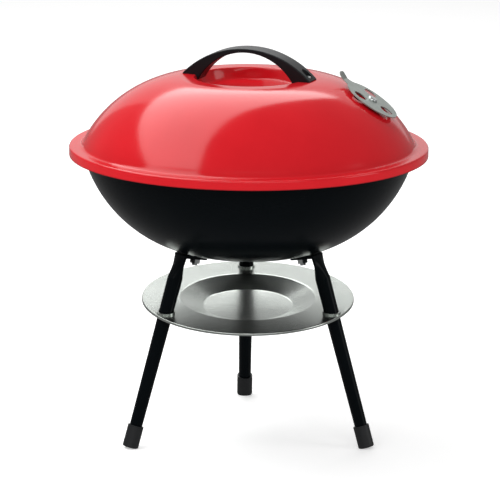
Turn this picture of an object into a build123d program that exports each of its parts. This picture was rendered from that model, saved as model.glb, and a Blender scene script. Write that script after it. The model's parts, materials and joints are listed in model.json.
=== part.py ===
"""Portable kettle charcoal grill: a domed lid with a turning damper on a round bowl,
two lift-out grates, and three splayed tube legs that carry an ash pan.

Frame: +Z up, origin on the kettle's axis at ground level, -Y is the front. Millimetres."""
import os
from math import atan2, cos, hypot, radians, sin, sqrt

from build123d import *

# --- overall sizes -------------------------------------------------------------------
lid_radius = 183.0          # outside of the lid's lip
lip_height = 292.0          # lower edge of the lid's lip above the ground
sheet = 1.2                 # enamelled steel of bowl and lid
drill_reach = 6.0           # how far a hole's cut runs past a curved wall, each way
bow_steps = 6               # spans in the smooth side curves of bowl and lid

# --- lid shell -----------------------------------------------------------------------
lip_depth = 9.5             # height of the turned-down lip
lip_round = 2.0
flange_width = 12.7         # nearly flat ring between lip and dome
flange_round = 5.0
dome_rise = 70.0            # from flange to crest
dome_bulge = 15.5           # how far the dome's side bows out from a straight cone
crest_radius = 71.0         # outer edge of the flat landing that the handle stands on
landing_width = 15.5
recess_wall_run = 4.5       # how far the recess wall leans inwards
recess_depth = 12.0
crest_round = 2.5

# --- bowl ----------------------------------------------------------------------------
bowl_depth = 105.4          # rim bead centre down to the foot of the curved side
bowl_bulge = 27.3           # how far the side bows out from a straight cone
bottom_panel_radius = 44.0
bottom_panel_step = 1.2     # the pressed panel stands this much below the side
bead_radius = 4.0           # rolled rim
rim_side_play = 5.6         # room between the bead and the inside of the lip
seat_gap = 0.3              # resting gap between parts that lift off one another
air_hole_radius = 6.0
air_hole_circle = 26.0
air_hole_count = 6

# --- legs and feet -------------------------------------------------------------------
leg_splay = 17.07           # degrees from upright
leg_turn = 1.2              # degrees that the three legs are turned about the axis
leg_bolt_radius = 62.0      # distance of the leg bolts from the axis
tongue_length = 17.5        # from bolt to bend
tongue_tail = 10.5          # from bolt to the tongue's rounded end
tongue_width = 21.0
tongue_thickness = 3.2
bend_fill_radius = 1.45     # rounds the outside of the bend, inside both flat faces
crimp_length = 24.0         # where the round tube is squeezed flat
leg_top_radius = 7.7
leg_foot_radius = 6.3
leg_wall = 1.2
foot_cap_radius = 8.1
foot_cap_height = 23.0
foot_cap_floor = 3.5
foot_cap_round = 1.5
foot_flat_depth = 1.6       # how much of the tilted cap is cut level to stand flat

# --- leg fasteners, M6 ---------------------------------------------------------------
bolt_radius = 3.0
bolt_clearance = 0.2
washer_clearance = 0.3
bolt_head_radius = 5.8
bolt_head_height = 3.4
bolt_tail = 2.2             # thread showing past the nut
nut_flats = 10.0
nut_height = 5.0
washer_radius = 6.3
washer_thickness = 1.0
washer_sag = 0.17           # a flat washer rides on the bowl's curve by this much

# --- ash pan -------------------------------------------------------------------------
pan_radius = 109.0
pan_height = 142.0          # rim plane above the ground, at the axis
pan_lean = 6.3              # degrees: the pan hangs lower at the front
pan_sheet = 1.0
pan_hem = 2.6               # turned-down edge
dish_radius = 69.4
dish_floor_radius = 46.0
dish_depth = 9.5
dish_round = 5.0
pan_hole_clearance = 0.4
collar_height = 1.8
collar_wall = 1.0

# --- grates --------------------------------------------------------------------------
grate_drop = 15.0           # cooking grate's rim wire below the bowl's bead centre
grate_play = 2.5            # room between the grate's rim and the bowl
rim_wire_radius = 2.5
bar_wire_radius = 1.6
bar_pitch = 14.0
cross_wire_radius = 2.2
cross_wire_offset = 68.0
weld_sink = 0.7             # how far a bar sinks into the wire it is welded to
coal_grate_height = 46.0    # above the bowl's bottom
coal_bar_pitch = 20.0
coal_bar_radius = 2.0
bracket_width = 16.0
bracket_reach = 10.0
bracket_sheet = 1.6
bracket_height = 12.0
bracket_gap = 0.1           # layer of enamel between bracket and bowl

# --- lid handle ----------------------------------------------------------------------
handle_turn = -20.7         # degrees about Z: its right end comes towards the front
handle_half_span = 68.6
handle_width = 21.0
handle_rise = 30.0          # top of the arch above the landing
handle_grip_thickness = 4.2
handle_foot_inner = 51.5
handle_foot_drop = 5.0      # how far the foot's inner corner hangs into the recess
handle_toe = 1.2            # thickness at the outer ends
handle_round = 1.0
screw_offset = 62.0         # handle screws from the middle of the handle
screw_radius = 2.5
screw_clearance = 0.2
screw_head_radius = 4.4
screw_head_height = 2.4
screw_seat = 2.0            # moulding left under the screw's head
screw_well_radius = 5.2
drive_slot = 1.1            # width of the cross recess in the screw heads
screw_tail = 1.6
screw_washer_radius = 5.0
screw_washer_thickness = 1.0
screw_nut_flats = 8.0
screw_nut_height = 4.0

# --- damper --------------------------------------------------------------------------
damper_azimuth = -12.0      # degrees about Z from +X
damper_distance = 126.0     # rivet's distance from the kettle's axis
damper_radius = 29.5
damper_sheet = 1.0
damper_lift = 1.1           # gap between dome and disc, filled by a washer at the rivet
damper_rest_turn = -4.0     # degrees that the disc stands past fully open
vent_radius = 7.0
vent_circle = 18.0
vent_count = 3
vent_turn = -6.0            # degrees of the hole pattern about the rivet
tab_reach = 44.5
tab_width = 13.0
tab_neck_round = 8.0
tab_tip_round = 3.0
tab_bend_length = 9.0
tab_bend_angle = 24.0
rivet_radius = 2.5
rivet_clearance = 0.08
rivet_head_radius = 5.0
rivet_head_height = 2.0
rivet_play = 0.15
damper_washer_radius = 6.0


def arc_centre(start, end, bulge):
    """Centre and radius of the arc from start to end that bows out by bulge to the left."""
    run, rise = end[0] - start[0], end[1] - start[1]
    chord = hypot(run, rise)
    radius = (chord * chord / 4 + bulge * bulge) / (2 * bulge)
    back = radius - bulge
    centre = ((start[0] + end[0]) / 2 + back * rise / chord,
              (start[1] + end[1]) / 2 - back * run / chord)
    return centre, radius


def bow_points(start, end, centre, radius):
    """Evenly spaced points on the arc about centre from start to end, both included."""
    first = atan2(start[1] - centre[1], start[0] - centre[0])
    turn = atan2(end[1] - centre[1], end[0] - centre[0]) - first
    return [(centre[0] + radius * cos(first + turn * step / bow_steps),
             centre[1] + radius * sin(first + turn * step / bow_steps))
            for step in range(bow_steps + 1)]


# Heights and radii that follow from the sizes above
flange_height = lip_height + lip_depth
dome_base_radius = lid_radius - flange_width
crest_height = flange_height + dome_rise
landing_inner = crest_radius - landing_width
recess_radius = landing_inner - recess_wall_run
recess_height = crest_height - recess_depth
bead_height = flange_height - sheet - seat_gap - bead_radius
bead_centre_radius = lid_radius - sheet - rim_side_play - bead_radius
bowl_rim_radius = bead_centre_radius - bead_radius + sheet
side_foot_height = bead_height - bowl_depth
panel_height = side_foot_height - bottom_panel_step

dome_start, dome_end = (crest_radius, crest_height), (dome_base_radius, flange_height)
dome_centre, dome_arc_radius = arc_centre(dome_start, dome_end, dome_bulge)
side_start, side_end = (bottom_panel_radius, side_foot_height), (bowl_rim_radius, bead_height)
side_centre, side_arc_radius = arc_centre(side_end, side_start, bowl_bulge)


def outwards(azimuth):
    """Level unit vector pointing away from the kettle's axis."""
    return Vector(cos(radians(azimuth)), sin(radians(azimuth)), 0)


def radial_plane(azimuth):
    """Upright plane through the axis: x points outwards, y points up."""
    side = outwards(azimuth - 90)
    return Plane(origin=(0, 0, 0), x_dir=outwards(azimuth), z_dir=side)


def shell_plane(azimuth, distance, centre, radius, upward):
    """Tangent plane on a round shell at a distance from the axis. z is the outward normal
    and x points away from the axis; upward is 1 on the dome and -1 on the bowl."""
    slope = (distance - centre[0]) / radius
    level = sqrt(1 - slope * slope)
    away, up = outwards(azimuth), Vector(0, 0, upward)
    return Plane(
        origin=away * distance + Vector(0, 0, centre[1] + upward * level * radius),
        x_dir=away * level - up * slope,
        z_dir=away * slope + up * level,
    )


def bowl_inside_radius(height, inset=0.0):
    """Radius of the bowl's inner side at a height, less an inset along its normal."""
    inner = side_arc_radius - sheet - inset
    return side_centre[0] + sqrt(inner**2 - (side_centre[1] - height) ** 2)


def round_corner(outline, corner, radius):
    """Round the corner of an outline that lies nearest to a point."""
    fillet(outline.vertices().sort_by_distance(corner)[0], radius)


def draw_sheet(outside, side):
    """Draw a shell's outer line and, one sheet away on one side, its inner line. The inner
    curves are drawn afresh as splines through points of the offset."""
    inside = offset(outside, amount=sheet, side=side, closed=False, mode=Mode.PRIVATE)
    add(outside)
    for edge in inside.edges():
        if edge.geom_type in (GeomType.LINE, GeomType.CIRCLE):
            add(edge)
        else:
            points = [edge @ (step / bow_steps) for step in range(bow_steps + 1)]
            Spline(*points, tangents=[edge % 0, edge % 1])
    for end in (outside @ 0, outside @ 1):
        Line(end, inside.vertices().sort_by_distance(end)[0])


def ring(radius, count, turn=0.0):
    """Places evenly spaced round a circle."""
    angles = [radians(turn + 360 * step / count) for step in range(count)]
    return [(radius * cos(angle), radius * sin(angle)) for angle in angles]


def drill(plane, radius, place=(0, 0)):
    """Cut one round hole square through the part being built, at a place on a plane."""
    with BuildSketch(plane) as hole:
        with Locations(place):
            Circle(radius)
    extrude(hole.sketch, amount=drill_reach, both=True, mode=Mode.SUBTRACT)


def write(piece, name):
    """Label a finished piece and write it as its own STEP file."""
    piece.part.label = name
    export_step(piece.part, f"parts/{name}.step")


os.makedirs("parts", exist_ok=True)

# --- lid: one pressed shell with a recessed top, a domed side, a flange and a lip ------
damper_plane = shell_plane(damper_azimuth, damper_distance, dome_centre, dome_arc_radius, 1)
landing_plane = Plane(origin=(0, 0, crest_height), x_dir=outwards(handle_turn), z_dir=(0, 0, 1))
screw_places = [(-screw_offset, 0), (screw_offset, 0)]


def draw_lid_outside():
    """Outer line of the lid from its middle to the lip's lower edge."""
    with BuildLine() as outline:
        Polyline((0, recess_height), (recess_radius, recess_height),
                 (landing_inner, crest_height), dome_start)
        Spline(*bow_points(dome_start, dome_end, dome_centre, dome_arc_radius))
        Polyline(dome_end, (lid_radius, flange_height), (lid_radius, lip_height))
        round_corner(outline, (recess_radius, recess_height), crest_round)
        round_corner(outline, (landing_inner, crest_height), crest_round)
        round_corner(outline, dome_start, crest_round)
        round_corner(outline, dome_end, flange_round)
        round_corner(outline, (lid_radius, flange_height), lip_round)
    return outline.line


with BuildPart() as lid:
    with BuildSketch(Plane.XZ):
        with BuildLine():
            draw_sheet(draw_lid_outside(), Side.RIGHT)
        make_face()
    revolve(axis=Axis.Z)
    for place in ring(vent_circle, vent_count, vent_turn):
        drill(damper_plane, vent_radius, place)
    drill(damper_plane, rivet_radius + rivet_clearance)
    for place in screw_places:
        drill(landing_plane, screw_radius + screw_clearance, place)
write(lid, "lid")

# --- lid handle: a moulded arch whose feet sit on the landing and hang into the recess --
arch_plane = radial_plane(handle_turn)
arch_top = crest_height + handle_rise
arch_toe = crest_height + handle_toe
foot_inner_height = crest_height - handle_foot_drop

with BuildPart() as lid_block:
    with BuildSketch(Plane.XZ):
        with BuildLine():
            add(draw_lid_outside())
            Polyline((lid_radius, lip_height), (0, lip_height), (0, recess_height))
        make_face()
    revolve(axis=Axis.Z)

with BuildPart() as lid_handle:
    with BuildSketch(arch_plane):
        with BuildLine():
            ThreePointArc((-handle_half_span, arch_toe), (0, arch_top),
                          (handle_half_span, arch_toe))
            ThreePointArc((-handle_foot_inner, foot_inner_height),
                          (0, arch_top - handle_grip_thickness),
                          (handle_foot_inner, foot_inner_height))
            for side in (-1, 1):
                Polyline((side * handle_half_span, arch_toe),
                         (side * handle_half_span, crest_height - handle_toe),
                         (side * handle_foot_inner, foot_inner_height))
        make_face()
    extrude(amount=handle_width / 2, both=True)
    fillet(lid_handle.edges().filter_by(GeomType.CIRCLE), handle_round)
    add(lid_block.part, mode=Mode.SUBTRACT)
    with BuildSketch(landing_plane.offset(screw_seat)):
        with Locations(*screw_places):
            Circle(screw_well_radius)
    extrude(amount=handle_rise, mode=Mode.SUBTRACT)
    with BuildSketch(landing_plane):
        with Locations(*screw_places):
            Circle(screw_radius + screw_clearance)
    extrude(amount=screw_seat, mode=Mode.SUBTRACT)
write(lid_handle, "lid_handle")

# --- handle screws, washers and nuts ----------------------------------------------------
washer_top = crest_height - sheet
nut_top = washer_top - screw_washer_thickness
screw_tip = nut_top - screw_nut_height - screw_tail

with BuildPart() as handle_screws:
    with BuildSketch(landing_plane.offset(screw_seat)):
        with Locations(*screw_places):
            Circle(screw_head_radius)
    extrude(amount=screw_head_height)
    fillet(handle_screws.faces().filter_by(Axis.Z).group_by(Axis.Z)[-1].edges(), handle_round)
    with BuildSketch(landing_plane.offset(screw_tip - crest_height)):
        with Locations(*screw_places):
            Circle(screw_radius)
    extrude(amount=crest_height + screw_seat - screw_tip)
    with BuildSketch(landing_plane.offset(screw_seat + screw_head_height)):
        with Locations(*screw_places):
            Rectangle(screw_head_radius, drive_slot)
            Rectangle(drive_slot, screw_head_radius)
    extrude(amount=-screw_head_height / 2, mode=Mode.SUBTRACT)
write(handle_screws, "handle_screws")

with BuildPart() as handle_washers:
    with BuildSketch(landing_plane.offset(nut_top - crest_height)):
        with Locations(*screw_places):
            Circle(screw_washer_radius)
            Circle(screw_radius + washer_clearance, mode=Mode.SUBTRACT)
    extrude(amount=screw_washer_thickness)
write(handle_washers, "handle_washers")

with BuildPart() as handle_nuts:
    with BuildSketch(landing_plane.offset(nut_top - crest_height)):
        with Locations(*screw_places):
            RegularPolygon(screw_nut_flats / 2, 6, major_radius=False)
            Circle(screw_radius, mode=Mode.SUBTRACT)
    extrude(amount=-screw_nut_height)
write(handle_nuts, "handle_nuts")

# --- damper: a stamped disc with a bent tab, turning on a rivet through the dome --------
disc_turn = radians(vent_turn + damper_rest_turn)
disc_plane = Plane(
    origin=damper_plane.offset(damper_lift).origin,
    x_dir=damper_plane.x_dir * cos(disc_turn) + damper_plane.y_dir * sin(disc_turn),
    z_dir=damper_plane.z_dir)
tab_fold = tab_reach - tab_bend_length
disc_side_plane = Plane(
    origin=disc_plane.origin, x_dir=-disc_plane.x_dir, z_dir=disc_plane.y_dir)

with BuildPart() as damper_disc:
    with BuildSketch(disc_plane) as disc_outline:
        Circle(damper_radius)
        with Locations((-tab_fold / 2, 0)):
            Rectangle(tab_fold, tab_width)
        neck = disc_outline.vertices().group_by(SortBy.DISTANCE)[0]
        fillet(neck, tab_neck_round)
        with PolarLocations(vent_circle, vent_count):
            Circle(vent_radius, mode=Mode.SUBTRACT)
        Circle(rivet_radius + rivet_clearance, mode=Mode.SUBTRACT)
    extrude(amount=damper_sheet)
    with BuildSketch(disc_side_plane):
        with BuildLine():
            FilletPolyline(
                (damper_radius, 0), (tab_fold, 0),
                (tab_fold + tab_bend_length * cos(radians(tab_bend_angle)),
                 tab_bend_length * sin(radians(tab_bend_angle))), radius=damper_sheet)
            offset(amount=damper_sheet, side=Side.LEFT)
        make_face()
    extrude(amount=tab_width / 2, both=True)
    corners = damper_disc.edges().filter_by(lambda edge: abs(edge.length - damper_sheet) < 0.01)
    tab_line = Axis(disc_plane.origin, -disc_plane.x_dir)
    fillet(corners.sort_by(tab_line)[-2:], tab_tip_round)
write(damper_disc, "damper_disc")

# --- damper rivet, with a plain washer between disc and dome ----------------------------
rivet_top = damper_lift + damper_sheet + rivet_play
rivet_bottom = -sheet - rivet_play

with BuildPart() as damper_rivet:
    with BuildSketch(damper_plane.offset(rivet_top)):
        Circle(rivet_head_radius)
    extrude(amount=rivet_head_height)
    with BuildSketch(damper_plane.offset(rivet_bottom)):
        Circle(rivet_head_radius)
    extrude(amount=-rivet_head_height)
    heads = damper_rivet.faces().sort_by(Axis(damper_plane.origin, damper_plane.z_dir))
    fillet([*heads[0].edges(), *heads[-1].edges()], rivet_head_height * 0.8)
    with BuildSketch(damper_plane.offset(rivet_bottom)):
        Circle(rivet_radius)
    extrude(amount=rivet_top - rivet_bottom)
write(damper_rivet, "damper_rivet")

with BuildPart() as damper_washer:
    with BuildSketch(damper_plane):
        Circle(damper_washer_radius)
        Circle(rivet_radius + washer_clearance, mode=Mode.SUBTRACT)
    extrude(amount=damper_lift - rivet_play / 2)
write(damper_washer, "damper_washer")

# --- bowl: one pressed shell with a rolled rim, ash holes and three bolt holes ----------
leg_azimuths = [-150 + leg_turn, -30 + leg_turn, 90 + leg_turn]
leg_names = ["left", "right", "rear"]
bolt_planes = [
    shell_plane(azimuth, leg_bolt_radius, side_centre, side_arc_radius, -1)
    for azimuth in leg_azimuths
]


def draw_bowl_outside():
    """Outer line of the bowl from its middle to its rolled rim."""
    with BuildLine() as outline:
        Polyline((0, panel_height), (bottom_panel_radius - bottom_panel_step, panel_height),
                 side_start)
        Spline(*bow_points(side_start, side_end, side_centre, side_arc_radius))
    return outline.line


with BuildPart() as bowl:
    with BuildSketch(Plane.XZ):
        with BuildLine():
            draw_sheet(draw_bowl_outside(), Side.LEFT)
        make_face()
        with Locations((bead_centre_radius, bead_height)):
            Circle(bead_radius)
    revolve(axis=Axis.Z)
    for place in ring(air_hole_circle, air_hole_count):
        drill(Plane.XY.offset(panel_height), air_hole_radius, place)
    for plane in bolt_planes:
        drill(plane, bolt_radius + bolt_clearance)
write(bowl, "bowl")

# --- legs: tapered tubes squeezed flat at the top and bent under the bowl ----------------


def leg_plane(bolt_plane, azimuth):
    """Plane at a leg's bend: z runs down the leg and y across the squeezed end."""
    away, up = outwards(azimuth), Vector(0, 0, 1)
    splay = radians(leg_splay)
    return Plane(
        origin=bolt_plane.from_local_coords((tongue_length, 0, tongue_thickness / 2)),
        x_dir=away * cos(splay) + up * sin(splay),
        z_dir=away * sin(splay) - up * cos(splay),
    )


bend_planes = [leg_plane(plane, azimuth) for plane, azimuth in zip(bolt_planes, leg_azimuths)]
cap_end = (bend_planes[0].origin.Z + foot_flat_depth
           - foot_cap_radius * sin(radians(leg_splay))) / cos(radians(leg_splay))
leg_length = cap_end - foot_cap_floor


def tube_radius(distance):
    """Outer radius of a leg's tube at a distance down from its bend."""
    share = (distance - crimp_length) / (leg_length - crimp_length)
    return leg_top_radius + (leg_foot_radius - leg_top_radius) * share


for name, bolt_plane, bend in zip(leg_names, bolt_planes, bend_planes):
    with BuildPart() as leg:
        with BuildSketch(bend.offset(crimp_length)):
            Circle(leg_top_radius)
        with BuildSketch(bend.offset(leg_length)):
            Circle(leg_foot_radius)
        loft()
        with BuildSketch(bend):
            RectangleRounded(tongue_thickness, tongue_width, tongue_thickness * 0.4)
        with BuildSketch(bend.offset(crimp_length)):
            Circle(leg_top_radius)
        loft()
        with BuildSketch(bolt_plane) as tongue:
            with Locations(((tongue_length - tongue_tail) / 2, 0)):
                Rectangle(tongue_length + tongue_tail, tongue_width)
            fillet(tongue.vertices().sort_by(Axis.X)[:2], tongue_tail * 0.6)
        extrude(amount=tongue_thickness)
        with BuildSketch(Plane(bend.origin, x_dir=bend.x_dir, z_dir=bend.y_dir)):
            Circle(bend_fill_radius)
        extrude(amount=tongue_width / 2, both=True)
        with BuildSketch(bend.offset(crimp_length)):
            Circle(leg_top_radius - leg_wall)
        with BuildSketch(bend.offset(leg_length)):
            Circle(leg_foot_radius - leg_wall)
        loft(mode=Mode.SUBTRACT)
        drill(bolt_plane, bolt_radius + bolt_clearance)
    write(leg, f"leg_{name}")

    with BuildPart() as foot:
        with BuildSketch(bend.offset(cap_end - foot_cap_height)):
            Circle(foot_cap_radius)
        extrude(amount=foot_cap_height)
        rims = foot.edges().filter_by(GeomType.CIRCLE).sort_by(Axis.Z)
        fillet(rims[0], foot_cap_round)
        with BuildSketch(bend.offset(cap_end - foot_cap_height)):
            Circle(tube_radius(cap_end - foot_cap_height))
        with BuildSketch(bend.offset(leg_length)):
            Circle(leg_foot_radius)
        loft(mode=Mode.SUBTRACT)
        split(bisect_by=Plane.XY, keep=Keep.TOP)
    write(foot, f"foot_{name}")

# --- leg bolts from inside the bowl, with washers under their heads and nuts below --------
washer_seat = -sheet - washer_sag
head_seat = washer_seat - washer_thickness
nut_end = tongue_thickness + nut_height

with BuildPart() as leg_bolts:
    with BuildSketch(*[plane.offset(head_seat) for plane in bolt_planes]):
        Circle(bolt_head_radius)
    extrude(amount=-bolt_head_height)
    with BuildSketch(*[plane.offset(head_seat) for plane in bolt_planes]):
        Circle(bolt_radius)
    extrude(amount=nut_end + bolt_tail - head_seat)
write(leg_bolts, "leg_bolts")

with BuildPart() as leg_washers:
    with BuildSketch(*[plane.offset(head_seat) for plane in bolt_planes]):
        Circle(washer_radius)
        Circle(bolt_radius + washer_clearance, mode=Mode.SUBTRACT)
    extrude(amount=washer_thickness)
write(leg_washers, "leg_washers")

with BuildPart() as leg_nuts:
    with BuildSketch(*[plane.offset(tongue_thickness) for plane in bolt_planes]):
        RegularPolygon(nut_flats / 2, 6, major_radius=False)
        Circle(bolt_radius, mode=Mode.SUBTRACT)
    extrude(amount=nut_height)
write(leg_nuts, "leg_nuts")

# --- ash pan: a spun dish with a hemmed rim and three collared leg holes ------------------
lean = radians(pan_lean)
pan_normal = Vector(0, -sin(lean), cos(lean))
pan_plane = Plane(origin=(0, 0, pan_height), x_dir=(1, 0, 0), z_dir=pan_normal)
pan_section = Plane(origin=pan_plane.origin, x_dir=(1, 0, 0), z_dir=-pan_plane.y_dir)


def pan_crossing(bend):
    """Distance down a leg at which its centre line meets the pan's rim plane."""
    return (pan_plane.origin - bend.origin).dot(pan_normal) / bend.z_dir.dot(pan_normal)


with BuildPart() as ash_pan:
    with BuildSketch(pan_section):
        with BuildLine() as pan_outline:
            Polyline((0, -dish_depth), (dish_floor_radius, -dish_depth), (dish_radius, 0),
                     (pan_radius, 0), (pan_radius, -pan_hem))
            round_corner(pan_outline, (dish_floor_radius, -dish_depth), dish_round)
            round_corner(pan_outline, (dish_radius, 0), dish_round)
            round_corner(pan_outline, (pan_radius, 0), pan_sheet * 1.2)
            offset(amount=pan_sheet, side=Side.RIGHT)
        make_face()
    revolve(axis=Axis(pan_plane.origin, pan_normal))
    for bend in bend_planes:
        distance = pan_crossing(bend)
        centre = pan_plane.to_local_coords(bend.from_local_coords((0, 0, distance)))
        hole_radius = tube_radius(distance) + pan_hole_clearance
        stretch = 1 / abs(bend.z_dir.dot(pan_normal))
        with BuildSketch(pan_plane):
            with Locations((centre.X, centre.Y)):
                Circle(hole_radius * stretch + collar_wall)
        extrude(amount=collar_height)
        with BuildSketch(bend.offset(distance)):
            Circle(hole_radius)
        extrude(amount=2 * leg_top_radius, both=True, mode=Mode.SUBTRACT)
write(ash_pan, "ash_pan")

# --- grate brackets: three ledges spot-welded inside the bowl -----------------------------
grate_height = bead_height - grate_drop
ledge_height = grate_height - rim_wire_radius - seat_gap
bracket_foot = ledge_height - bracket_height
bracket_middle = (ledge_height + bracket_foot) / 2
ledge_radius = bowl_inside_radius(ledge_height, bracket_gap)
middle_radius = bowl_inside_radius(bracket_middle, bracket_gap)
foot_radius = bowl_inside_radius(bracket_foot, bracket_gap)
bracket_azimuths = [-90, 30, 150]

with BuildPart() as grate_brackets:
    for azimuth in bracket_azimuths:
        with BuildSketch(radial_plane(azimuth)):
            with BuildLine():
                Polyline((bead_centre_radius, ledge_height),
                         (ledge_radius - bracket_reach, ledge_height),
                         (ledge_radius - bracket_reach, ledge_height - bracket_sheet),
                         (foot_radius - bracket_sheet, ledge_height - bracket_sheet),
                         (foot_radius - bracket_sheet, bracket_foot),
                         (bead_centre_radius, bracket_foot), close=True)
            make_face()
        extrude(amount=bracket_width / 2, both=True)
    with BuildSketch(Plane.XZ):
        with BuildLine():
            Polyline((ledge_radius, ledge_height), (0, ledge_height), (0, bracket_foot),
                     (foot_radius, bracket_foot))
            Spline((foot_radius, bracket_foot), (middle_radius, bracket_middle),
                   (ledge_radius, ledge_height))
        make_face()
    revolve(axis=Axis.Z, mode=Mode.INTERSECT)
write(grate_brackets, "grate_brackets")

# --- grates: a rim wire, two cross wires and parallel bars, welded together ---------------


def build_grate(rim_radius, height, pitch, bar_radius):
    """Welded wire grate: bars lie across the rim wire, cross wires run below the bars."""
    with BuildPart() as grate:
        with BuildSketch(Plane.XZ):
            with Locations((rim_radius, height)):
                Circle(rim_wire_radius)
        revolve(axis=Axis.Z)
        bar_height = height + rim_wire_radius + bar_radius - weld_sink
        half_count = int((rim_radius - 2 * rim_wire_radius) / pitch)
        for step in range(-half_count, half_count + 1):
            half_length = sqrt(rim_radius**2 - (step * pitch) ** 2)
            with BuildSketch(Plane.XZ):
                with Locations((step * pitch, bar_height)):
                    Circle(bar_radius)
            extrude(amount=half_length, both=True)
        cross_height = bar_height - bar_radius - cross_wire_radius + weld_sink
        cross_length = sqrt(rim_radius**2 - cross_wire_offset**2)
        with BuildSketch(Plane.YZ):
            with Locations((-cross_wire_offset, cross_height), (cross_wire_offset, cross_height)):
                Circle(cross_wire_radius)
        extrude(amount=cross_length, both=True)
    return grate


grate_rim_radius = bowl_inside_radius(grate_height) - grate_play - rim_wire_radius
write(build_grate(grate_rim_radius, grate_height, bar_pitch, bar_wire_radius), "cooking_grate")

coal_height = side_foot_height + coal_grate_height
coal_rim_radius = bowl_inside_radius(coal_height, rim_wire_radius + seat_gap)
write(build_grate(coal_rim_radius, coal_height, coal_bar_pitch, coal_bar_radius), "charcoal_grate")
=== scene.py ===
"""Looks of a portable kettle charcoal grill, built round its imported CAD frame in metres.

+Z up, origin on the kettle's axis at ground level, -Y is the front."""
import json
from math import cos, pi, radians, sin

import bpy
import numpy as np
from mathutils import Matrix, Vector


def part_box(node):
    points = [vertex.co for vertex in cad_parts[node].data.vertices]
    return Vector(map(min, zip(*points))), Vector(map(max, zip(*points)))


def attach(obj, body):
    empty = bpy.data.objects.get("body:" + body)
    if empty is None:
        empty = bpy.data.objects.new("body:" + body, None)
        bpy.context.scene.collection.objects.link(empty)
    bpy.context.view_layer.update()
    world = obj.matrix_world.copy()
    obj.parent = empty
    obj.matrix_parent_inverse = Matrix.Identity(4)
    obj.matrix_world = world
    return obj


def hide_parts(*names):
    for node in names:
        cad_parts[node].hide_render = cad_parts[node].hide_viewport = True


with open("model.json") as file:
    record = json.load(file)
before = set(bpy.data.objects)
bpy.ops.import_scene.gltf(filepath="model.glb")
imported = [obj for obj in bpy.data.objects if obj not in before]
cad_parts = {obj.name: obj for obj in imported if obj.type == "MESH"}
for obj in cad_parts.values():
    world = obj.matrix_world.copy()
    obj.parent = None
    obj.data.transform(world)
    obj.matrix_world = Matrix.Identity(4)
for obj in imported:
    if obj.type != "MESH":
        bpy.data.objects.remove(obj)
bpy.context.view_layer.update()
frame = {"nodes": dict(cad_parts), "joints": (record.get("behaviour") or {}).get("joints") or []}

# --- lid ------------------------------------------------------------------------------
# A lid pressed from 1.2 mm steel sheet in one stroke: a recessed top, a domed side, a
# nearly flat flange and a turned-down lip. It is fired with glossy red porcelain enamel.

MM = 0.001
lid_low, lid_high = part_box("lid")
lid_radius = lid_high.x
lip_bottom = lid_low.z
sheet = 1.2 * MM
flange_z = lip_bottom + 9.5 * MM
crest_z = flange_z + 70 * MM
dome_foot_radius = lid_radius - 12.7 * MM
crest_radius = 71 * MM
landing_inner = crest_radius - 15.5 * MM
recess_radius = landing_inner - 4.5 * MM
recess_z = crest_z - 12 * MM
dome_bulge = 15.5 * MM
crest_round, flange_round, lip_round = 2.5 * MM, 5 * MM, 2 * MM
vent_radius, vent_circle, vent_count, vent_turn = 7 * MM, 18 * MM, 3, -6
rivet_bore = 2.58 * MM
drill_reach = 6 * MM


def linear(hex_colour):
    """An sRGB hex colour as the linear RGBA that a shader socket takes."""
    parts = [int(hex_colour[i:i + 2], 16) / 255 for i in (0, 2, 4)]
    return [p / 12.92 if p <= 0.04045 else ((p + 0.055) / 1.055) ** 2.4 for p in parts] + [1.0]


def add_node(material, kind, settings=None, links=None):
    """Add a node to a material, set its properties and sockets, and link its inputs."""
    tree = material.node_tree
    node = tree.nodes.new(kind)
    for key, value in (settings or {}).items():
        if isinstance(key, int) or key in node.inputs:
            node.inputs[key].default_value = value
        else:
            setattr(node, key, value)
    for key, output in (links or {}).items():
        tree.links.new(output, node.inputs[key])
    return node


def new_material(name):
    """An empty node material of a given name."""
    material = bpy.data.materials.new(name)
    material.use_nodes = True
    material.node_tree.nodes.clear()
    return material


def bulged_line(start, end, bulge, count):
    """Points on the circular arc from start to end whose middle stands bulge to the left:
    the arc's radius is (chord squared / 4 + bulge squared) / (2 bulge)."""
    start, end = np.array(start), np.array(end)
    chord = end - start
    length = np.hypot(*chord)
    radius = (length**2 / 4 + bulge**2) / (2 * bulge)
    left = np.array([-chord[1], chord[0]]) / length
    centre = (start + end) / 2 - left * (radius - bulge)
    first = np.arctan2(*(start - centre)[::-1])
    last = np.arctan2(*(end - centre)[::-1])
    angle = np.linspace(first, last, count)
    return centre + radius * np.stack([np.cos(angle), np.sin(angle)], axis=1)


def rounded(points, radii, steps=8):
    """A line whose corners are replaced by arcs tangent to both sides. Each arc starts
    radius * tan(turn / 2) before its corner and swings about a centre on the bisector."""
    line = [np.array(points[0])[None]]
    for before, corner, after, radius in zip(points, points[1:], points[2:], radii):
        corner = np.array(corner)
        back = (np.array(before) - corner) / np.hypot(*(np.array(before) - corner))
        ahead = (np.array(after) - corner) / np.hypot(*(np.array(after) - corner))
        half = np.arccos(np.clip(back @ ahead, -1, 1)) / 2
        bisector = (back + ahead) / np.hypot(*(back + ahead))
        centre = corner + bisector * radius / np.sin(half)
        reach = radius / np.tan(half)
        first, last = corner + back * reach - centre, corner + ahead * reach - centre
        share = np.linspace(0, 1, steps)[:, None]
        swing = np.pi - 2 * half
        arc = (np.sin((1 - share) * swing) * first + np.sin(share * swing) * last) / np.sin(swing)
        line.append(centre + arc)
    line.append(np.array(points[-1])[None])
    return np.concatenate(line)


def refined(line, step):
    """The same line with points no further apart than step along each of its spans."""
    spans = [np.linspace(a, b, max(2, int(np.ceil(np.hypot(*(b - a)) / step)) + 1))[:-1]
             for a, b in zip(line[:-1], line[1:])]
    return np.concatenate([*spans, line[-1:]])


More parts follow.
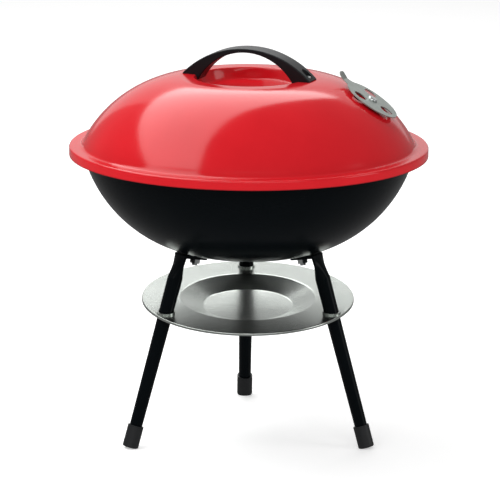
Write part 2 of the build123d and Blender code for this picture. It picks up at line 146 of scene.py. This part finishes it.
def inset_line(line, depth):
    """The line moved sideways by depth to its right, along the mean normal of its spans."""
    span = np.diff(line, axis=0)
    span /= np.hypot(span[:, 0], span[:, 1])[:, None]
    mean = np.concatenate([span[:1], span[:-1] + span[1:], span[-1:]])
    mean /= np.hypot(mean[:, 0], mean[:, 1])[:, None]
    turn = np.concatenate([[1.0], (span[:-1] * mean[1:-1]).sum(axis=1), [1.0]])
    normal = np.stack([mean[:, 1], -mean[:, 0]], axis=1)
    return line + normal * (depth / np.maximum(turn, 0.5))[:, None]


def mesh_object(name, points, faces, material, sharp_degrees=40):
    """A mesh object from an array of points and a list of faces, smooth except at edges
    sharper than sharp_degrees."""
    mesh = bpy.data.meshes.new(name)
    mesh.from_pydata(points, [], faces)
    mesh.polygons.foreach_set("use_smooth", np.ones(len(mesh.polygons), bool))
    mesh.set_sharp_from_angle(angle=radians(sharp_degrees))
    mesh.materials.append(material)
    piece = bpy.data.objects.new(name, mesh)
    bpy.context.scene.collection.objects.link(piece)
    return piece


def lathe(name, line, material, around):
    """A closed profile turned about the Z axis: point = (r cos a, r sin a, z), with r and z
    along the profile and a round the circle. Its two ends lie on the axis and become poles."""
    angle = np.linspace(0, 2 * np.pi, around, endpoint=False)
    ring = line[1:-1]
    r, z = ring[:, 0, None], ring[:, 1, None]
    grid = np.stack([r * np.cos(angle), r * np.sin(angle), z + 0 * angle], axis=-1)
    rows = len(ring)
    index = np.arange(rows * around).reshape(rows, around)
    beside = np.roll(index, -1, axis=1)
    below_beside = np.roll(index[1:], -1, axis=1)
    quads = np.stack([index[:-1], index[1:], below_beside, beside[:-1]], axis=-1)
    faces = quads.reshape(-1, 4).tolist()
    points = np.concatenate([grid.reshape(-1, 3), [[0, 0, line[0, 1]], [0, 0, line[-1, 1]]]])
    first, last = rows * around, rows * around + 1
    faces += np.stack([np.full(around, first), index[0], beside[0]], axis=-1).tolist()
    faces += np.stack([np.full(around, last), beside[-1], index[-1]], axis=-1).tolist()
    return mesh_object(name, points, faces, material)


def cut_round_holes(piece, holes, sharp_degrees=40):
    """Cut straight round holes through a shell. Each hole is a centre, a direction, a
    radius and half a depth; a 64-sided cylinder is taken away for each."""
    for centre, direction, radius, reach in holes:
        bpy.ops.mesh.primitive_cylinder_add(vertices=64, radius=radius, depth=2 * reach)
        cutter = bpy.context.object
        cutter.matrix_world = (Matrix.Translation(centre)
                               @ Vector(direction).to_track_quat("Z", "Y").to_matrix().to_4x4())
        bpy.context.view_layer.update()
        cut = piece.modifiers.new("hole", "BOOLEAN")
        cut.object, cut.operation, cut.solver = cutter, "DIFFERENCE", "EXACT"
        with bpy.context.temp_override(object=piece, active_object=piece):
            bpy.ops.object.modifier_apply(modifier=cut.name)
        bpy.data.objects.remove(cutter)
    piece.data.set_sharp_from_angle(angle=radians(sharp_degrees))


# Porcelain enamel: coloured glass fused onto steel at about 800 C. The glass pools a little
# unevenly, which shows as a faint orange peel. The colour is darker along the lip's lowest 1.2 mm.
red_enamel = new_material("red_porcelain_enamel")
coordinates = add_node(red_enamel, "ShaderNodeTexCoord")
place = coordinates.outputs["Object"]
cloud = add_node(red_enamel, "ShaderNodeTexNoise",
                 {"Scale": 1 / (60 * MM), "Detail": 3.0, "Roughness": 0.5}, {"Vector": place})
body_colour = add_node(red_enamel, "ShaderNodeMix",
                       {"data_type": "RGBA", 6: linear("C4121C"), 7: linear("D81A24")},
                       {0: cloud.outputs["Fac"]})
height = add_node(red_enamel, "ShaderNodeSeparateXYZ", {}, {"Vector": place})
# Over the lip's lowest 1.2 mm the red is mixed towards a deep dark red.
lip_edge_darkening = add_node(red_enamel, "ShaderNodeMapRange",
                {"From Min": lip_bottom, "From Max": lip_bottom + 1.2 * MM,
                 "To Min": 1.0, "To Max": 0.0}, {"Value": height.outputs["Z"]})
colour = add_node(red_enamel, "ShaderNodeMix",
                  {"data_type": "RGBA", 7: linear("7A0A10")},
                  {0: lip_edge_darkening.outputs["Result"], 6: body_colour.outputs[2]})
peel = add_node(red_enamel, "ShaderNodeTexNoise",
                {"Scale": 1 / (5 * MM), "Detail": 2.0, "Roughness": 0.4}, {"Vector": place})
peel_bump = add_node(red_enamel, "ShaderNodeBump",
                     {"Strength": 0.03, "Distance": 0.2 * MM}, {"Height": peel.outputs["Fac"]})
gloss = add_node(red_enamel, "ShaderNodeMapRange", {"To Min": 0.10, "To Max": 0.17},
                 {"Value": cloud.outputs["Fac"]})
shader = add_node(red_enamel, "ShaderNodeBsdfPrincipled", {"IOR": 1.42},
                  {"Base Color": colour.outputs[2], "Roughness": gloss.outputs["Result"],
                   "Normal": peel_bump.outputs["Normal"]})
add_node(red_enamel, "ShaderNodeOutputMaterial", {}, {"Surface": shader.outputs[0]})

dome = bulged_line((crest_radius, crest_z), (dome_foot_radius, flange_z), dome_bulge, 60)
crest_line = rounded([(0, recess_z), (recess_radius, recess_z), (landing_inner, crest_z),
                      tuple(dome[0]), tuple(dome[3])], [crest_round] * 3)
skirt_line = rounded([tuple(dome[-4]), tuple(dome[-1]), (lid_radius, flange_z),
                      (lid_radius, lip_bottom)], [flange_round, lip_round])
lid_outer = refined(np.concatenate([crest_line[:-1], dome[3:-4], skirt_line]), 4 * MM)
lid_inner = inset_line(lid_outer, sheet)
lid_inner[0] = (0, recess_z - sheet)
lid_line = np.concatenate([lid_outer, lid_inner[::-1]])
lid_shell = lathe("lid_shell", lid_line, red_enamel, around=288)

damper = next(joint for joint in frame["joints"] if joint["name"] == "damper_turn")
rivet_at, rivet_up = Vector(damper["pos_m"]), Vector(damper["axis"])
downhill = (Vector((rivet_at.x, rivet_at.y, 0)).normalized().cross(rivet_up)).cross(rivet_up)
downhill = -downhill.normalized() if downhill.z > 0 else downhill.normalized()
across = rivet_up.cross(downhill)
vent_angles = [radians(vent_turn + 360 * step / vent_count) for step in range(vent_count)]
vents = [(rivet_at + (downhill * cos(a) + across * sin(a)) * vent_circle,
          rivet_up, vent_radius, drill_reach) for a in vent_angles]
cut_round_holes(lid_shell, [*vents, (rivet_at, rivet_up, rivet_bore, drill_reach)])
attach(lid_shell, "lid")
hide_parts("lid")

# --- lid handle -------------------------------------------------------------------------
# An arch moulded in black glass-filled nylon with a fine spark-eroded grain. Its feet are
# screwed down on the lid's landing.

black_nylon = new_material("moulded_black_nylon")
coordinates = add_node(black_nylon, "ShaderNodeTexCoord")
grain = add_node(black_nylon, "ShaderNodeTexNoise",
                 {"Scale": 1 / (0.5 * MM), "Detail": 2.0}, {"Vector": coordinates.outputs["Object"]})
grain_bump = add_node(black_nylon, "ShaderNodeBump", {"Strength": 0.12, "Distance": 0.05 * MM},
                      {"Height": grain.outputs["Fac"]})
rubbed = add_node(black_nylon, "ShaderNodeTexNoise",
                  {"Scale": 1 / (18 * MM), "Detail": 3.0}, {"Vector": coordinates.outputs["Object"]})
rubbed_gloss = add_node(black_nylon, "ShaderNodeMapRange", {"To Min": 0.30, "To Max": 0.42},
                        {"Value": rubbed.outputs["Fac"]})
tone = add_node(black_nylon, "ShaderNodeMix",
                {"data_type": "RGBA", 6: linear("0A0D10"), 7: linear("101417")},
                {0: rubbed.outputs["Fac"]})
shader = add_node(black_nylon, "ShaderNodeBsdfPrincipled", {"IOR": 1.35},
                  {"Base Color": tone.outputs[2], "Roughness": rubbed_gloss.outputs["Result"],
                   "Normal": grain_bump.outputs["Normal"]})
add_node(black_nylon, "ShaderNodeOutputMaterial", {}, {"Surface": shader.outputs[0]})


def dress(node, material):
    """Give a CAD node a material in place of its packed one."""
    slots = frame["nodes"][node].material_slots
    for entry in slots:
        entry.material = material


dress("lid_handle", black_nylon)

# --- fasteners --------------------------------------------------------------------------
# Cold-headed steel screws, nuts, washers and rivet with bright zinc plating.

zinc_plate = new_material("bright_zinc_plated_steel")
coordinates = add_node(zinc_plate, "ShaderNodeTexCoord")
tumble = add_node(zinc_plate, "ShaderNodeTexNoise",
                  {"Scale": 1 / (1.2 * MM), "Detail": 4.0}, {"Vector": coordinates.outputs["Object"]})
tumble_gloss = add_node(zinc_plate, "ShaderNodeMapRange", {"To Min": 0.22, "To Max": 0.40},
                        {"Value": tumble.outputs["Fac"]})
tone = add_node(zinc_plate, "ShaderNodeMix",
                {"data_type": "RGBA", 6: linear("B9BDBE"), 7: linear("D5D8D6")},
                {0: tumble.outputs["Fac"]})
shader = add_node(zinc_plate, "ShaderNodeBsdfPrincipled", {"Metallic": 1.0},
                  {"Base Color": tone.outputs[2], "Roughness": tumble_gloss.outputs["Result"]})
add_node(zinc_plate, "ShaderNodeOutputMaterial", {}, {"Surface": shader.outputs[0]})

for name in ["handle_screws", "handle_washers", "handle_nuts", "damper_rivet", "damper_washer",
             "leg_bolts", "leg_washers", "leg_nuts"]:
    dress(name, zinc_plate)

# --- damper -----------------------------------------------------------------------------
# A disc with a bent tab, blanked from galvanised sheet and left bare. Rolling leaves fine
# lines along the sheet, and zinc dulls to a soft grey-green.

galvanised = new_material("galvanised_rolled_steel")
coordinates = add_node(galvanised, "ShaderNodeTexCoord")
along = add_node(galvanised, "ShaderNodeMapping", {"Scale": (1.0, 14.0, 1.0)},
                 {"Vector": coordinates.outputs["Object"]})
lines = add_node(galvanised, "ShaderNodeTexNoise",
                 {"Scale": 1 / (6 * MM), "Detail": 5.0}, {"Vector": along.outputs[0]})
stain = add_node(galvanised, "ShaderNodeTexNoise",
                 {"Scale": 1 / (14 * MM), "Detail": 3.0}, {"Vector": coordinates.outputs["Object"]})
tone = add_node(galvanised, "ShaderNodeMix",
                {"data_type": "RGBA", 6: linear("A3ACA6"), 7: linear("C3C9C4")},
                {0: stain.outputs["Fac"]})
line_gloss = add_node(galvanised, "ShaderNodeMapRange", {"To Min": 0.34, "To Max": 0.50},
                      {"Value": lines.outputs["Fac"]})
line_bump = add_node(galvanised, "ShaderNodeBump", {"Strength": 0.05, "Distance": 0.05 * MM},
                     {"Height": lines.outputs["Fac"]})
shader = add_node(galvanised, "ShaderNodeBsdfPrincipled", {"Metallic": 1.0},
                  {"Base Color": tone.outputs[2], "Roughness": line_gloss.outputs["Result"],
                   "Normal": line_bump.outputs["Normal"]})
add_node(galvanised, "ShaderNodeOutputMaterial", {}, {"Surface": shader.outputs[0]})
dress("damper_disc", galvanised)

# --- bowl -------------------------------------------------------------------------------
# A deep bowl pressed from the same sheet as the lid, with a rolled rim and a round panel
# stepped into its bottom. It is fired with glossy black enamel inside and out.

black_enamel = new_material("black_porcelain_enamel")
coordinates = add_node(black_enamel, "ShaderNodeTexCoord")
cloud = add_node(black_enamel, "ShaderNodeTexNoise",
                 {"Scale": 1 / (55 * MM), "Detail": 3.0}, {"Vector": coordinates.outputs["Object"]})
tone = add_node(black_enamel, "ShaderNodeMix",
                {"data_type": "RGBA", 6: linear("030608"), 7: linear("060A0D")},
                {0: cloud.outputs["Fac"]})
peel = add_node(black_enamel, "ShaderNodeTexNoise",
                {"Scale": 1 / (5 * MM), "Detail": 2.0}, {"Vector": coordinates.outputs["Object"]})
peel_bump = add_node(black_enamel, "ShaderNodeBump",
                     {"Strength": 0.04, "Distance": 0.2 * MM}, {"Height": peel.outputs["Fac"]})
gloss = add_node(black_enamel, "ShaderNodeMapRange", {"To Min": 0.20, "To Max": 0.30},
                 {"Value": cloud.outputs["Fac"]})
shader = add_node(black_enamel, "ShaderNodeBsdfPrincipled",
                  {"IOR": 1.16},
                  {"Base Color": tone.outputs[2], "Roughness": gloss.outputs["Result"],
                   "Normal": peel_bump.outputs["Normal"]})
add_node(black_enamel, "ShaderNodeOutputMaterial", {}, {"Surface": shader.outputs[0]})
dress("bowl", black_enamel)
dress("grate_brackets", black_enamel)

# --- legs and feet ----------------------------------------------------------------------
# Drawn steel tubes, squeezed flat and bent at the top, dipped in black enamel. Soft black
# caps are pushed over their lower ends.

for name in ["leg_left", "leg_right", "leg_rear"]:
    dress(name, black_enamel)

foot_plastic = new_material("moulded_black_polyethylene")
coordinates = add_node(foot_plastic, "ShaderNodeTexCoord")
matte = add_node(foot_plastic, "ShaderNodeTexNoise",
                 {"Scale": 1 / (1.5 * MM), "Detail": 3.0}, {"Vector": coordinates.outputs["Object"]})
tone = add_node(foot_plastic, "ShaderNodeMix",
                {"data_type": "RGBA", 6: linear("0A0C0E"), 7: linear("14171A")},
                {0: matte.outputs["Fac"]})
matte_bump = add_node(foot_plastic, "ShaderNodeBump", {"Strength": 0.1, "Distance": 0.1 * MM},
                      {"Height": matte.outputs["Fac"]})
shader = add_node(foot_plastic, "ShaderNodeBsdfPrincipled", {"IOR": 1.51, "Roughness": 0.5},
                  {"Base Color": tone.outputs[2], "Normal": matte_bump.outputs["Normal"]})
add_node(foot_plastic, "ShaderNodeOutputMaterial", {}, {"Surface": shader.outputs[0]})
for name in ["foot_left", "foot_right", "foot_rear"]:
    dress(name, foot_plastic)

# --- ash pan ----------------------------------------------------------------------------
# A dish spun from soft aluminium sheet on a lathe, so very fine rings run round it. Three
# collared holes let the legs through.

spun_aluminium = new_material("spun_satin_aluminium")
coordinates = add_node(spun_aluminium, "ShaderNodeTexCoord")
smear = add_node(spun_aluminium, "ShaderNodeTexNoise",
                 {"Scale": 1 / (30 * MM), "Detail": 4.0}, {"Vector": coordinates.outputs["Object"]})
tone = add_node(spun_aluminium, "ShaderNodeMix",
                {"data_type": "RGBA", 6: linear("B9BFBA"), 7: linear("CED3CE")},
                {0: smear.outputs["Fac"]})
rings = add_node(spun_aluminium, "ShaderNodeTexWave",
                 {"wave_type": "RINGS", "rings_direction": "Z", "Scale": 1 / (3.2 * MM),
                  "Distortion": 0.6, "Detail": 2.0, "Detail Scale": 0.3},
                 {"Vector": coordinates.outputs["Object"]})
ring_gloss = add_node(spun_aluminium, "ShaderNodeMapRange", {"To Min": 0.20, "To Max": 0.30},
                      {"Value": rings.outputs["Fac"]})
ring_bump = add_node(spun_aluminium, "ShaderNodeBump", {"Strength": 0.04, "Distance": 0.05 * MM},
                     {"Height": rings.outputs["Fac"]})
shader = add_node(spun_aluminium, "ShaderNodeBsdfPrincipled", {"Metallic": 1.0},
                  {"Base Color": tone.outputs[2], "Roughness": ring_gloss.outputs["Result"],
                   "Normal": ring_bump.outputs["Normal"]})
add_node(spun_aluminium, "ShaderNodeOutputMaterial", {}, {"Surface": shader.outputs[0]})
dress("ash_pan", spun_aluminium)

# --- grates -----------------------------------------------------------------------------
# Welded steel wire: the cooking grate is nickel-chrome plated, and the charcoal grate is
# bare wire that firing has tinted.

plated_wire = new_material("nickel_chrome_plated_wire")
coordinates = add_node(plated_wire, "ShaderNodeTexCoord")
haze = add_node(plated_wire, "ShaderNodeTexNoise",
                {"Scale": 1 / (9 * MM), "Detail": 4.0}, {"Vector": coordinates.outputs["Object"]})
haze_gloss = add_node(plated_wire, "ShaderNodeMapRange", {"To Min": 0.10, "To Max": 0.24},
                      {"Value": haze.outputs["Fac"]})
tone = add_node(plated_wire, "ShaderNodeMix",
                {"data_type": "RGBA", 6: linear("C4C6C6"), 7: linear("DCDEDE")},
                {0: haze.outputs["Fac"]})
shader = add_node(plated_wire, "ShaderNodeBsdfPrincipled", {"Metallic": 1.0},
                  {"Base Color": tone.outputs[2], "Roughness": haze_gloss.outputs["Result"]})
add_node(plated_wire, "ShaderNodeOutputMaterial", {}, {"Surface": shader.outputs[0]})
dress("cooking_grate", plated_wire)

fired_wire = new_material("bare_fired_steel_wire")
coordinates = add_node(fired_wire, "ShaderNodeTexCoord")
scale_marks = add_node(fired_wire, "ShaderNodeTexNoise",
                       {"Scale": 1 / (12 * MM), "Detail": 5.0},
                       {"Vector": coordinates.outputs["Object"]})
tone = add_node(fired_wire, "ShaderNodeMix",
                {"data_type": "RGBA", 6: linear("6E6A66"), 7: linear("928E8A")},
                {0: scale_marks.outputs["Fac"]})
scale_bump = add_node(fired_wire, "ShaderNodeBump", {"Strength": 0.2, "Distance": 0.1 * MM},
                      {"Height": scale_marks.outputs["Fac"]})
shader = add_node(fired_wire, "ShaderNodeBsdfPrincipled", {"Metallic": 1.0, "Roughness": 0.48},
                  {"Base Color": tone.outputs[2], "Normal": scale_bump.outputs["Normal"]})
add_node(fired_wire, "ShaderNodeOutputMaterial", {}, {"Surface": shader.outputs[0]})
dress("charcoal_grate", fired_wire)

# --- studio -----------------------------------------------------------------------------
# A pale floor under one large soft box at the upper left, a strip of fill at the right, a
# soft wall of light behind and a dim room in front. The floor isn't seen in reflections.

floor_paint = new_material("matte_white_floor")
shader = add_node(floor_paint, "ShaderNodeBsdfPrincipled",
                  {"Base Color": linear("F4F4F4"), "Roughness": 0.9, "Specular IOR Level": 0.1,
                   "Emission Color": linear("FFFFFF"), "Emission Strength": 0.40})
add_node(floor_paint, "ShaderNodeOutputMaterial", {}, {"Surface": shader.outputs[0]})
floor_reach = 12.0
corners = [(-floor_reach, -floor_reach, 0), (floor_reach, -floor_reach, 0),
           (floor_reach, floor_reach, 0), (-floor_reach, floor_reach, 0)]
floor = mesh_object("floor", corners, [(0, 1, 2, 3)], floor_paint)
floor.visible_glossy = False


def soft_box(name, centre, aim, width, depth, power, turn=0.0):
    """A rectangular area light at centre that faces aim, turned about its own axis."""
    lamp = bpy.data.lights.new(name, "AREA")
    lamp.shape, lamp.size, lamp.size_y, lamp.energy = "RECTANGLE", width, depth, power
    light = bpy.data.objects.new(name, lamp)
    bpy.context.scene.collection.objects.link(light)
    facing = (Vector(aim) - Vector(centre)).to_track_quat("-Z", "Y").to_matrix().to_4x4()
    light.matrix_world = Matrix.Translation(centre) @ facing @ Matrix.Rotation(turn, 4, "Z")
    return light


soft_box("soft_box_above_left", (-0.57, 0.50, 1.36), (-0.57, 0.50, 0.0), 1.13, 2.9, 34,
         turn=radians(-30))
soft_box("fill_front", (0.0, -2.0, 1.50), (0, 0, 0.36), 2.6, 0.7, 20)
soft_box("fill_right", (2.2, -0.6, 0.9), (0, 0, 0.3), 0.9, 1.2, 8)
soft_box("back_wall", (0.1, 3.2, 1.5), (0.1, 0, 0.8), 3.4, 2.2, 12)

world = bpy.data.worlds.new("dim_room")
bpy.context.scene.world = world
world.use_nodes = True
backdrop = world.node_tree.nodes["Background"]
backdrop.inputs["Color"].default_value = (1, 1, 1, 1)
backdrop.inputs["Strength"].default_value = 0.25

# The camera stands well back and a little above the lid, with a long lens.
camera_data = bpy.data.cameras.new("camera")
camera_data.sensor_width = 36.0
camera_data.lens = 262.1
camera_data.shift_x = 0.0036
camera_data.clip_end = 100.0
camera = bpy.data.objects.new("camera", camera_data)
bpy.context.scene.collection.objects.link(camera)
pitch, roll = radians(13.05), radians(0.355)
camera.matrix_world = (Matrix.Translation((0, -3.6365, 1.0337))
                       @ Matrix.Rotation(pi / 2 - pitch, 4, "X") @ Matrix.Rotation(roll, 4, "Z"))
bpy.context.scene.camera = camera
bpy.context.scene.view_settings.view_transform = "Standard"
